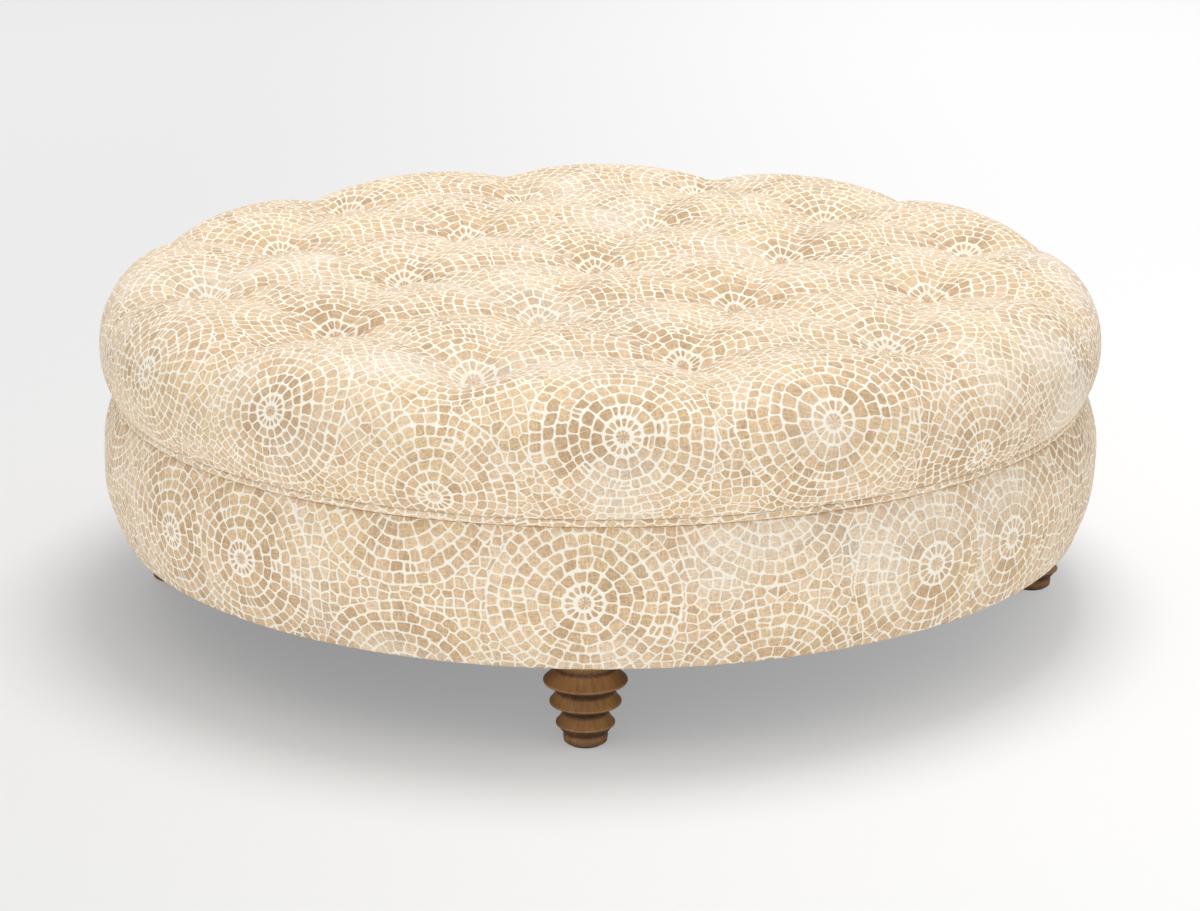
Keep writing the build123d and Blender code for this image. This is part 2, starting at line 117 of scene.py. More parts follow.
# The band
HEM_RADIUS = 593 * MM
HEM_EASE = 6 * MM
TUCK_RADIUS = 550 * MM
BAND_TOP_RADIUS = 594.5 * MM
BULGE_SHARE = 0.52
BULGE_POWER = 2.2
BAND_TUCK = 4 * MM
BAND_COLUMNS = 600
BAND_ROWS = 26
BAND_RIPPLE = 1.1 * MM
BAND_SEED = 5

# The welt
WELT_CENTRE_RADIUS = 591.5 * MM
WELT_HALF_TURN = 0.62 * pi
WELT_COLUMNS = 720
WELT_ROWS = 14
WELT_RIPPLE = 0.5 * MM
WELT_SEED = 11
WELT_PRINT_START = (50 * MM, 60 * MM)
WELT_PRINT_STRETCH = 1.6

# The legs
LEG_CIRCLE_RADIUS = 540.5 * MM
LEG_TURN = radians(-1.7)
LEG_COUNT = 4
LEG_SIDES = 96
FOOT_HEIGHT = 10.5 * MM
FOOT_RADII = (24 * MM, 25.5 * MM)
FOOT_ROUNDING = 1.2 * MM
RING_RADII = (33 * MM, 40 * MM, 46.8 * MM)
RING_HEIGHT = 25 * MM
RING_EDGE = 1.8 * MM
RING_CREST_SHARE = 0.46
CREST_ROUNDING = 1.3 * MM
CREST_TURN = 0.4 * pi
GROOVE_DEPTH = 10 * MM
NECK_GROOVE_RADIUS = 32 * MM
NECK_GROOVE_RISE = 16 * MM
NECK_RADIUS = 36 * MM

# The dust cover
DUST_COVER_RADIUS = 570 * MM
DUST_COVER_RINGS = 60
DUST_COVER_SAG = 0.35 * MM
DUST_COVER_PULL = 0.25 * MM
DUST_COVER_SEED = 3
STAPLE_COUNT = 96
STAPLE_INSET = 9 * MM
STAPLE_LENGTH = 10 * MM
STAPLE_WIRE = 0.7 * MM
# Each corner's place along the staple in its lengths, and upward in its wire's widths
STAPLE_OUTLINE = (
    (-0.5, 0.4), (-0.42, -0.6), (0.42, -0.6), (0.5, 0.4),
    (0.36, 0.4), (0.3, 0.1), (-0.3, 0.1), (-0.36, 0.4),
)
STAPLE_LEAN = 0.2
STAPLE_DRIFT = 0.006
STAPLE_SEED = 8

# The CAD nodes that stay, by their finish
FRAME_FINISHES = {
    "glide": ("foot_glides",),
    "steel": ("hanger_bolts", "tee_nuts"),
    "plywood": ("leg_blocks", "base_board", "deck_board"),
    "pine": ("frame_posts", "long_joists", "cross_joists", "hoop_blocks"),
    "hardboard": ("side_wall", "wall_splice"),
    "twine": ("tuft_ties",),
    "clip": ("tuft_clips",),
}

# The print: rings of tiles round medallions that stand in the tufts' lattice
ROSETTE_RADIUS = 11.5 * MM
WEDGE_RING_RADIUS = 27 * MM
SMALLEST_SIZE = 0.7
SIZE_SEED = 3.0
WIDE_RING_STEP = 17 * MM
WIDE_RING_COUNT = 2
FAR_RING_STEP = 13.5 * MM
FAR_RING_COUNT = 4
WIDE_TILE_WIDTH = 16.5 * MM
FAR_TILE_WIDTH = 14 * MM
WEDGE_COUNT = 15
PETAL_COUNT = 9
GROUT_WIDTH = 1.85 * MM
GROUT_VARIATION = 4.0 * MM
GROUT_SCALE = 38.0
HEART_GROUT = 1.2 * MM
TILE_ROUNDING = 3.0 * MM
TILE_EDGE = (-0.3 * MM, 0.5 * MM)
SPLIT_SIDE_CHANCE = 0.03
SPLIT_RISE_CHANCE = 0.015
CELL_WIDTH = 12.5 * MM
CELL_RANDOMNESS = 0.7
SWAY_SCALES = (13.0, 48.0)
SWAY_WIDTHS = (16 * MM, 9 * MM)
SWAY_AT_HEART = 0.25
CUSHION_PRINT_SHIFT = (-2.0 * MM, 14.9 * MM)
PRINT_SPREAD = 2.0
SPREAD_START = 615 * MM
BAND_MEDALLION_HEIGHT = 188 * MM
BAND_MEDALLION_ARC = -17 * MM
BAND_SEAMS = (radians(-47.4), radians(43.8))
BAND_SEAM_LAP = 130 * MM

# What makes a tile dark (0) or pale (1): its own chance, patches, and its distance out
TONE_OF_TILE = 0.75
PATCH_SCALES = (7.0, 26.0)
PATCH_WEIGHTS = (1.54, 0.84)
TONE_AT_HEART = 0.24
TONE_AWAY = 0.36
PALING = (30 * MM, 85 * MM)

# Gold tiles and cloth washed pale, each drawn from its own part of the noise
GOLD_SCALE = 10.0
GOLD_SHARE = 0.4
GOLD_PLACE = (3.1, 1.7)
WASH_SCALE = 6.0
WASH_SHARE = 0.4
WASH_PLACE = (-1.3, 4.2)

# The weave's threads, and how much it shades the print
THREAD_SCALES = (430.0, 90.0)
THREAD_MIDDLE = 0.57
FLECK_SCALE = 240.0
WEAVE_SHADE = (0.31, 0.40, 0.86)
WEAVE_OFF_GROUT = 0.7

# Colours as they look in the photograph
TILE_DARK = (203, 172, 136)
TILE_MID = (223, 193, 157)
TILE_PALE = (236, 211, 181)
TILE_STRAW = (236, 210, 164)
GROUT = (253, 246, 231)
WALNUT_DARK = (52, 34, 22)
WALNUT_MID = (129, 91, 53)
WALNUT_PALE = (166, 120, 72)

# The dark and the pale of what hardly shows
GLIDE_COLOURS = ((38, 34, 31), (52, 47, 43))
CLIP_COLOURS = ((205, 203, 196), (222, 220, 214))
STEEL_COLOURS = ((150, 152, 155), (196, 197, 196))
DUST_CLOTH_COLOURS = ((20, 20, 21), (46, 45, 45))
PLYWOOD_COLOURS = ((170, 132, 88), (212, 180, 134))
PINE_COLOURS = ((196, 158, 108), (226, 196, 148))
HARDBOARD_COLOURS = ((88, 58, 36), (124, 86, 56))
TWINE_COLOURS = ((186, 170, 138), (222, 210, 182))

# The floor, and the share of its look that the camera sees as plain light: a painted glow that
# lightens the object's shadow and grows to the right and farther away
FLOOR_SIZE = 30.0
FLOOR_GREY = (241, 241, 241)
FLOOR_SHARE = 0.3
FLOOR_GLOW = 0.745
FLOOR_GLOW_RIGHTWARD = 0.46
FLOOR_GLOW_RIGHTWARD_SPAN = (-0.9, 0.9)
FLOOR_GLOW_AWAY = 0.6
FLOOR_GLOW_AWAY_SPAN = (0.8, 4.5)

# The light: the world's strength, and each lamp's place, width and power
WORLD_STRENGTH = 0.58
LAMPS = {
    "overhead": ((0.35, 0.5, 4.2), 1.9, 86),
    "front": ((0.0, -5.0, 0.25), 2.2, 70),
    "left": ((-4.5, -1.6, 0.25), 2.2, 26),
    "right": ((4.5, -1.6, 0.25), 2.2, 12),
}
LAMP_AIM = (0, 0, 0.3)


def linear(colour):
    """An sRGB colour of 0 to 255 as the linear RGBA that a shader takes."""
    shares = [value / 255 for value in colour]
    return (*[s / 12.92 if s <= 0.04045 else ((s + 0.055) / 1.055) ** 2.4 for s in shares], 1.0)


class Field:
    """A number that varies over a surface: one output of one shader node."""

    def __init__(self, tree, socket):
        self.tree = tree
        self.socket = socket

    def math(self, operation, *others):
        node = self.tree.nodes.new("ShaderNodeMath")
        node.operation = operation
        for entry, value in zip(node.inputs, (self, *others)):
            feed(self.tree, entry, value)
        return Field(self.tree, node.outputs[0])

    def __add__(self, other):
        return self.math("ADD", other)

    def __sub__(self, other):
        return self.math("SUBTRACT", other)

    def __mul__(self, other):
        return self.math("MULTIPLY", other)

    def __truediv__(self, other):
        return self.math("DIVIDE", other)

    def __rsub__(self, other):
        return self.math("MULTIPLY", -1.0).math("ADD", other)

    __radd__ = __add__
    __rmul__ = __mul__

    def least(self, other):
        return self.math("MINIMUM", other)

    def most(self, other):
        return self.math("MAXIMUM", other)

    def floor(self):
        return self.math("FLOOR")

    def fraction(self):
        return self.math("FRACT")

    def nearest(self):
        return (self + 0.5).floor()

    def over(self, other):
        return self.math("GREATER_THAN", other)

    def step(self, start, end):
        """0 below start, 1 above end, and smooth between them."""
        node = self.tree.nodes.new("ShaderNodeMapRange")
        node.interpolation_type = "SMOOTHSTEP"
        feed(self.tree, node.inputs["Value"], self)
        node.inputs["From Min"].default_value = start
        node.inputs["From Max"].default_value = end
        return Field(self.tree, node.outputs["Result"])

    def choose(self, low, high):
        """low where this is 0, high where it is 1."""
        return self * (high - low) + low


def feed(tree, entry, value):
    """Links a field to a socket, or sets the socket to a number."""
    if isinstance(value, Field):
        tree.links.new(value.socket, entry)
    else:
        entry.default_value = value


def combine(tree, x, y, z=0.0):
    """A place from three fields or numbers."""
    node = tree.nodes.new("ShaderNodeCombineXYZ")
    for entry, value in zip(node.inputs, (x, y, z)):
        feed(tree, entry, value)
    return node.outputs[0]


def separate(tree, socket):
    """A place's three fields."""
    node = tree.nodes.new("ShaderNodeSeparateXYZ")
    tree.links.new(socket, node.inputs[0])
    return [Field(tree, output) for output in node.outputs]


def noise(tree, place, scale, detail=2.0):
    """Cloudy noise from 0 to 1 with features of about 1/scale metres."""
    node = tree.nodes.new("ShaderNodeTexNoise")
    node.inputs["Scale"].default_value = scale
    node.inputs["Detail"].default_value = detail
    tree.links.new(place, node.inputs["Vector"])
    return Field(tree, node.outputs[0])


def scatter(tree, place):
    """A random number from 0 to 1 for each different place."""
    node = tree.nodes.new("ShaderNodeTexWhiteNoise")
    tree.links.new(place, node.inputs["Vector"])
    return Field(tree, node.outputs["Value"])


def blend_colours(tree, share, low, high):
    """low where share is 0, high where it is 1. Each is a colour or a socket."""
    node = tree.nodes.new("ShaderNodeMix")
    node.data_type = "RGBA"
    feed(tree, node.inputs["Factor"], share)
    for entry, value in ((node.inputs[6], low), (node.inputs[7], high)):
        if isinstance(value, bpy.types.NodeSocket):
            tree.links.new(value, entry)
        else:
            entry.default_value = linear(value)
    return node.outputs[2]


def brighten(tree, colour, factor):
    """A colour socket times a field."""
    node = tree.nodes.new("ShaderNodeVectorMath")
    node.operation = "SCALE"
    tree.links.new(colour, node.inputs[0])
    feed(tree, node.inputs["Scale"], factor)
    return node.outputs[0]


def coat(tree, shader, colour, height, depth, strength):
    """Gives a shader its colour, and a bump of some depth in metres."""
    tree.links.new(colour, shader.inputs["Base Color"])
    node = tree.nodes.new("ShaderNodeBump")
    node.inputs["Strength"].default_value = strength
    node.inputs["Distance"].default_value = depth
    feed(tree, node.inputs["Height"], height)
    tree.links.new(node.outputs[0], shader.inputs["Normal"])


def new_material(name, roughness, **sockets):
    """A material's tree and shader, with the shader's sockets set by name."""
    material = bpy.data.materials.new(name)
    material.use_nodes = True
    shader = material.node_tree.nodes["Principled BSDF"]
    shader.inputs["Roughness"].default_value = roughness
    for socket, value in sockets.items():
        shader.inputs[socket.replace("_", " ")].default_value = value
    return material, material.node_tree, shader


def flat_place(tree):
    """The place on the flat cloth, in metres, from the piece's own UV map."""
    node = tree.nodes.new("ShaderNodeUVMap")
    node.uv_map = "flat"
    return node.outputs[0]


def solid_place(tree, stretch=(1, 1, 1)):
    """The place in the piece, stretched so that grain runs along an axis."""
    source = tree.nodes.new("ShaderNodeTexCoord")
    mapping = tree.nodes.new("ShaderNodeMapping")
    mapping.inputs["Scale"].default_value = stretch
    tree.links.new(source.outputs["Object"], mapping.inputs["Vector"])
    return mapping.outputs[0]


def hypotenuse(a, b):
    """The distance that two fields at right angles make."""
    return (a * a + b * b).math("SQRT")


def clipped(field):
    """The field held between 0 and 1."""
    return field.most(0.0).least(1.0)


def medallion(tree, x, y):
    """The nearest medallion: place from its centre, and the centre itself."""
    columns, rows = TUFT_SPACING, 2 * ROW_SPACING
    even = [(x / columns).nearest() * columns, (y / rows).nearest() * rows]
    odd = [
        ((x / columns - 0.5).nearest() + 0.5) * columns,
        ((y / rows - 0.5).nearest() + 0.5) * rows,
    ]
    reach = [(x - c[0]) * (x - c[0]) + (y - c[1]) * (y - c[1]) for c in (even, odd)]
    nearer = reach[0].over(reach[1])
    centre = [nearer.choose(e, o) for e, o in zip(even, odd)]
    return x - centre[0], y - centre[1], centre


def halves(tree, share, size, name, chance):
    """Distance to a tile's nearer side, the same once some are split in two, and the half."""
    whole = share.least(1.0 - share) * size
    twice = share * 2.0
    part = twice.fraction()
    half = part.least(1.0 - part) * size / 2.0
    split = scatter(tree, name).over(1.0 - chance)
    return whole, split.choose(whole, half), twice.floor() * split


def ring_tiles(tree, across, up, centre, size):
    """Rings of tiles round a medallion: how far inside a tile a place is, and its name.

    Ring 0 is the rosette and ring 1 the wedges round it. Then come the wide rings and the
    far ones, in which some tiles are split in two. The odd factors in a name only keep one
    tile's random numbers from another's.
    """
    rosette_radius, wedge_radius = size * ROSETTE_RADIUS, size * WEDGE_RING_RADIUS
    wide_step = size * WIDE_RING_STEP
    far_start = wedge_radius + wide_step * WIDE_RING_COUNT
    radius = hypotenuse(across, up)
    turn = up.math("ARCTAN2", across) / tau + 0.5
    rosette = (radius / rosette_radius).least(1.0)
    wedges = clipped((radius - rosette_radius) / (wedge_radius - rosette_radius))
    rings = ((radius - wedge_radius) / wide_step).most(0.0).least(float(WIDE_RING_COUNT))
    level = rosette + wedges + rings + ((radius - far_start) / FAR_RING_STEP).most(0.0)
    ring, rise = level.floor(), level.fraction()
    past_rosette, past_wedges = ring.over(0.5), ring.over(1.5)
    far = ring.over(WIDE_RING_COUNT + 1.5)

    inner = past_rosette.choose(rosette_radius, wedge_radius - rosette_radius)
    height = past_wedges.choose(inner, far.choose(wide_step, FAR_RING_STEP))
    middle = far.choose(
        (ring - 1.5) * wide_step + wedge_radius,
        (ring - WIDE_RING_COUNT - 1.5) * FAR_RING_STEP + far_start,
    )
    seed = scatter(tree, combine(tree, centre[0] + 0.3, centre[1] + 0.7, ring))
    width = far.choose(size * WIDE_TILE_WIDTH, FAR_TILE_WIDTH) * (0.85 + seed * 0.35)
    count = past_wedges.choose(WEDGE_COUNT, (middle * tau / width).nearest())
    around = (turn + seed) * count
    tile = around.floor().math("FLOORED_MODULO", count) + ring * 37.0
    place = [centre[0] * 9.1, centre[1] * 7.3]

    side_name = combine(tree, tile, place[0] + 2.0, place[1])
    whole_side, edge_side, half = halves(
        tree, around.fraction(), radius * tau / count, side_name, SPLIT_SIDE_CHANCE
    )
    edge_side = past_rosette.choose(1.0, past_wedges.choose(whole_side, edge_side))
    rise_name = combine(tree, tile, place[0], place[1] + 4.0)
    _, edge_out, layer = halves(tree, rise, height, rise_name, SPLIT_RISE_CHANCE)
    inner_edge = past_rosette.choose(1.0, rise) * height
    outer_edge = (1.0 - rise) * height - HEART_GROUT
    edge_out = past_wedges.choose(outer_edge.least(inner_edge), edge_out)
    name = combine(tree, tile + (half * 0.31 + layer * 0.17) * past_wedges, *place)
    return radius, edge_out, edge_side, name, past_rosette, turn


def rounded(edge_a, edge_b, grout):
    """How far inside a tile with rounded corners a place is."""
    a = TILE_ROUNDING - (edge_a - grout / 2.0)
    b = TILE_ROUNDING - (edge_b - grout / 2.0)
    return TILE_ROUNDING - hypotenuse(a.most(0.0), b.most(0.0))


def sway(tree, place):
    """How far the print wanders along one axis."""
    waves = [(noise(tree, place, s) - 0.5) * w for s, w in zip(SWAY_SCALES, SWAY_WIDTHS)]
    return waves[0] + waves[1]


def cell_tiles(tree, plane, grout):
    """Uneven tiles between medallions: how far inside one a place is, and its number."""
    found = []
    for feature, output in (("DISTANCE_TO_EDGE", "Distance"), ("F1", "Color")):
        node = tree.nodes.new("ShaderNodeTexVoronoi")
        node.voronoi_dimensions = "2D"
        node.feature = feature
        node.inputs["Scale"].default_value = 1 / CELL_WIDTH
        node.inputs["Randomness"].default_value = CELL_RANDOMNESS
        tree.links.new(plane, node.inputs["Vector"])
        found.append(node.outputs[output])
    edge = Field(tree, found[0]) * CELL_WIDTH
    return edge - grout / 2.0, separate(tree, found[1])[0]


def tile_colours(tree, plane, drift, radius, seed, threads):
    """A tile's plain colour, and its share of gold."""
    patches = [(noise(tree, plane, s, 1.0) - 0.5) * w for s, w in zip(PATCH_SCALES, PATCH_WEIGHTS)]
    tone = (seed - 0.5) * TONE_OF_TILE + patches[0] + patches[1]
    tone = tone + radius.step(*PALING) * TONE_AWAY + TONE_AT_HEART
    dark = blend_colours(tree, tone.step(0.0, 0.55), TILE_DARK, TILE_MID)
    pale = blend_colours(tree, tone.step(0.5, 1.05), dark, TILE_PALE)
    gold = noise(tree, drift, GOLD_SCALE, 1.0).step(0.46, 0.68) * GOLD_SHARE
    gold = clipped(gold + (threads - THREAD_MIDDLE) * 1.2 + seed * 0.1)
    return pale, gold


def rosette_colour(tree, turn, share, pale, gold):
    """The petals at a medallion's heart, with grout between them."""
    petals = ((turn * PETAL_COUNT).fraction() - 0.5).math("ABSOLUTE") * 2.0
    petals = petals.step(0.70, 0.94) * share.step(0.15, 0.5)
    petal = blend_colours(tree, gold * 0.3 + 0.3, pale, TILE_PALE)
    return blend_colours(tree, petals, petal, GROUT)


def printed_linen():
    """Linen printed with mosaic medallions: tan tiles in cream grout."""
    material, tree, shader = new_material(
        "printed_linen", 0.88, Sheen_Weight=0.12, Sheen_Roughness=0.5, Specular_IOR_Level=0.25
    )
    x, y, _ = separate(tree, flat_place(tree))
    plane = combine(tree, x, y)
    drift = combine(tree, x + GOLD_PLACE[0], y + GOLD_PLACE[1])
    across, up, _ = medallion(tree, x, y)
    calm = hypotenuse(across, up).step(WEDGE_RING_RADIUS / 2, 2 * WEDGE_RING_RADIUS)
    calm = calm * (1 - SWAY_AT_HEART) + SWAY_AT_HEART
    sway_x, sway_y = sway(tree, plane) * calm, sway(tree, drift) * calm
    across, up, centre = medallion(tree, x + sway_x, y + sway_y)
    size = scatter(tree, combine(tree, centre[0] * 3.3 + SIZE_SEED, centre[1] * 5.9))
    size = size.choose(SMALLEST_SIZE, 1.0)
    near_rings = WEDGE_RING_RADIUS + WIDE_RING_COUNT * WIDE_RING_STEP
    medallion_radius = size * near_rings + FAR_RING_COUNT * FAR_RING_STEP

    grout = (noise(tree, plane, GROUT_SCALE) - 0.5) * GROUT_VARIATION + GROUT_WIDTH
    radius, edge_out, edge_side, tile_name, past_rosette, turn = ring_tiles(
        tree, across, up, centre, size
    )
    cell_depth, cell_seed = cell_tiles(tree, plane, grout)
    rim = (radius - medallion_radius).math("ABSOLUTE") - grout / 2.0
    between = radius.over(medallion_radius)
    depth = between.choose(rounded(edge_out, edge_side, grout), cell_depth.least(rim))
    tile = depth.step(*TILE_EDGE)
    seed = between.choose(scatter(tree, tile_name), cell_seed)

    threads = thread_field(tree, x, y)
    pale, gold = tile_colours(tree, plane, drift, radius, seed, threads)
    golden = blend_colours(tree, gold, pale, TILE_STRAW)
    rosette = rosette_colour(tree, turn, radius / (size * ROSETTE_RADIUS), pale, gold)
    tiles = blend_colours(tree, past_rosette, rosette, golden)
    faded = combine(tree, x + WASH_PLACE[0], y + WASH_PLACE[1])
    washed = noise(tree, faded, WASH_SCALE, 1.0).step(0.52, 0.74) * WASH_SHARE
    printed = blend_colours(tree, tile * (1.0 - washed), GROUT, tiles)
    base, of_flecks, of_threads = WEAVE_SHADE
    weave = base + noise(tree, plane, FLECK_SCALE, 4.0) * of_flecks + threads * of_threads
    weave = weave + (1.0 - weave) * (1.0 - tile) * WEAVE_OFF_GROUT
    coat(tree, shader, brighten(tree, printed, weave), threads, 0.35 * MM, 0.6)
    return material


def thread_field(tree, x, y):
    """Linen's two sets of threads, from 0 to 1, with uneven slubs."""
    fine, slow = THREAD_SCALES
    warp = noise(tree, combine(tree, x * fine, y * slow), 1.0, 1.5)
    weft = noise(tree, combine(tree, x * slow, y * fine, 4.0), 1.0, 1.5)
    return warp.most(weft)


def stained_wood():
    """Walnut stain on turned wood: streaks toward the axis, dark glaze in the grooves, and painted
    shade under the rings' crests and at the foot's edges.
    """
    material, tree, shader = new_material(
        "stained_wood", 0.52, Coat_Weight=0.1, Coat_Roughness=0.4, Specular_IOR_Level=0.35
    )
    turn_x, turn_y, _ = separate(tree, flat_place(tree))
    _, _, height = separate(tree, solid_place(tree))
    round_leg = combine(tree, turn_x, turn_y, height * 6.0)
    streaks = noise(tree, round_leg, 9.0, 5.0)
    hairs = noise(tree, round_leg, 42.0, 3.0)
    clouds = noise(tree, solid_place(tree), 30.0, 2.0)
    share = (streaks - 0.5) * 0.9 + (clouds - 0.5) * 0.8 + 0.55
    grain = blend_colours(tree, share.step(0.15, 0.85), WALNUT_MID, WALNUT_PALE)
    # The attribute mixes glaze in the grooves with painted shade under the rings' crests and at
    # the foot's edges
    glaze_and_shade = tree.nodes.new("ShaderNodeAttribute")
    glaze_and_shade.attribute_name = "glaze_and_shade"
    depth = Field(tree, glaze_and_shade.outputs["Fac"])
    speckle = (hairs - 0.5) * 1.6
    glaze_and_shade_share = clipped(depth + depth * speckle + hairs.step(0.54, 0.74) * 0.35)
    colour = blend_colours(tree, glaze_and_shade_share, grain, WALNUT_DARK)
    coat(tree, shader, colour, streaks + hairs, 0.3 * MM, 0.5)
    return material


def raw_stuff(name, colours, stretch, scale):
    """Unfinished wood, board or twine, with grain stretched along an axis."""
    material, tree, shader = new_material(name, 0.75)
    grain = noise(tree, solid_place(tree, stretch), scale, 4.0)
    clouds = noise(tree, solid_place(tree), 9.0, 2.0)
    share = (grain * 0.8 + clouds * 0.3).step(0.3, 0.8)
    coat(tree, shader, blend_colours(tree, share, *colours), grain, 0.3 * MM, 0.4)
    return material


def nonwoven():
    """Black spun-bonded dust cloth with its fine dimples and stray fibres."""
    material, tree, shader = new_material(
        "dust_cloth", 0.93, Sheen_Weight=0.2, Specular_IOR_Level=0.2
    )
    dimples = tree.nodes.new("ShaderNodeTexVoronoi")
    dimples.inputs["Scale"].default_value = 520.0
    tree.links.new(solid_place(tree), dimples.inputs["Vector"])
    pits = Field(tree, dimples.outputs["Distance"])
    fibres = noise(tree, solid_place(tree, (1, 0.2, 1)), 300.0, 4.0)
    share = (pits * 0.6 + fibres * 0.6).step(0.2, 0.9)
    coat(tree, shader, blend_colours(tree, share, *DUST_CLOTH_COLOURS), pits, 0.3 * MM, 0.6)
    return material


def moulded(name, colours, roughness):
    """Moulded plastic with a fine spark-eroded texture."""
    material, tree, shader = new_material(name, roughness)
    grit = noise(tree, solid_place(tree), 1400.0, 3.0)
    coat(tree, shader, blend_colours(tree, grit, *colours), grit, 0.08 * MM, 0.5)
    return material


def plated_steel():
    """Zinc-plated steel with a faint spangle."""
    material, tree, shader = new_material("zinc_steel", 0.34, Metallic=1.0)
    spangle = noise(tree, solid_place(tree), 300.0, 2.0)
    coat(tree, shader, blend_colours(tree, spangle, *STEEL_COLOURS), spangle, 0.05 * MM, 0.4)
    return material


def mesh_piece(name, corners, faces, material, cloth=None):
    """A smooth mesh on the root body. cloth holds each corner's place on the flat cloth."""
    mesh = bpy.data.meshes.new(name)
    mesh.from_pydata([tuple(c) for c in corners], [], faces)
    if cloth is not None:
        layer = mesh.uv_layers.new(name="flat")
        places = np.empty(len(mesh.loops), np.int32)
        mesh.loops.foreach_get("vertex_index", places)
        layer.data.foreach_set("uv", np.asarray(cloth, np.float32)[places].ravel())
    mesh.polygons.foreach_set("use_smooth", [True] * len(mesh.polygons))
    mesh.materials.append(material)
    mesh.update()
    piece = bpy.data.objects.new(name, mesh)
    bpy.context.scene.collection.objects.link(piece)
    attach(piece, "root")
    return piece


def disc_grid(rings):
    """Ring and share of turn of each corner of a disc of triangles, and the triangles."""
    start = [0] + [1 + 3 * k * (k - 1) for k in range(1, rings + 2)]
    corners = [(0, 0.0)] + [(k, i / (6 * k)) for k in range(1, rings + 1) for i in range(6 * k)]
    faces = []
    for k in range(1, rings + 1):
        for sector in range(6):
            for i in range(k):
                outer = start[k] + (sector * k + i) % (6 * k)
                after = start[k] + (sector * k + i + 1) % (6 * k)
                inner = start[k - 1] + (sector * (k - 1) + i) % max(6 * (k - 1), 1)
                faces.append((outer, after, inner))
                if i < k - 1:
                    beyond = start[k - 1] + (sector * (k - 1) + i + 1) % (6 * (k - 1))
                    faces.append((inner, after, beyond))
    return np.array(corners), faces


def smooth_step(values, start, end):
    """0 below start, 1 above end, and smooth between them."""
    share = np.clip((values - start) / (end - start), 0, 1)
    return share * share * (3 - 2 * share)


def tuft_places():
    """The tufts in the cushion's turned plane."""
    steps = range(-TUFT_RINGS, TUFT_RINGS + 1)
    return np.array(
        [
            (TUFT_SPACING * (i + j / 2) + TUFT_DRIFT[0], ROW_SPACING * j + TUFT_DRIFT[1])
            for i in steps
            for j in steps
            if abs(i + j) <= TUFT_RINGS
        ]
    )


def drawn_in(x, y, roll_angle):
    """How deep the cover lies under the untufted form, at places of the flat cloth."""
    tufts = tuft_places()
    reach = np.hypot(x[:, None] - tufts[:, 0], y[:, None] - tufts[:, 1])
    tuft = reach.min(1)
    nearest = reach.argmin(1)
    near_turn = np.arctan2(y - tufts[nearest, 1], x - tufts[nearest, 0])
    sharp, soft = VALLEY_ROUNDING
    rounding = sharp + (soft - sharp) * smooth_step(tuft, 0, TUFT_SPACING / 2)

    rows = np.abs([x * cos(radians(t)) + y * sin(radians(t)) for t in (90, 150, 210)])
    lines = np.abs(rows - ROW_SPACING * np.round(rows / ROW_SPACING)).min(0)
    outside = rows.max(0) - TUFT_RINGS * ROW_SPACING
    edge = np.where(outside > 0, outside, lines)
    edge = (np.sqrt(edge**2 + rounding**2) - rounding) / EDGE_DISTANCE
    valley = VALLEY_DEPTH * (1 - np.clip(edge, 0, 1)) ** VALLEY_POWER

    turn = np.arctan2(y, x)
    waves = RIM_VALLEY_COUNT / 2
    lobe = np.abs(np.sin(waves * turn))
    softness = waves * rounding / np.maximum(np.hypot(x, y), EDGE_DISTANCE)
    lobe = np.arcsin(np.clip(np.sqrt(lobe**2 + softness**2) - softness, 0, 1)) / (pi / 2)
    grow = smooth_step(outside, 0, RIM_BLEND)
    fade = np.cos(np.clip(roll_angle, 0, pi / 2)) ** RIM_FADE_POWER
    rim = (VALLEY_DEPTH + (RIM_VALLEY_DEPTH - VALLEY_DEPTH) * grow) * fade
    rim *= (1 - lobe) ** RIM_VALLEY_POWER
    joined = np.maximum(valley, rim) + VALLEY_OVERLAP * np.minimum(valley, rim)
    joined = np.where(outside > 0, joined, valley)

    throat = sum(
        deep / (1 + (tuft / wide) ** 2) ** TUFT_POWER for deep, wide in (TUFT_FUNNEL, TUFT_THROAT)
    )
    wander = PUCKER_WANDER * np.sin(3 * near_turn + nearest)
    folds = np.cos(PUCKER_COUNT * near_turn + wander)
    folds *= PUCKER_DEPTH * np.exp(-tuft / PUCKER_REACH) * smooth_step(tuft, 0, PUCKER_START)
    return joined + throat + folds


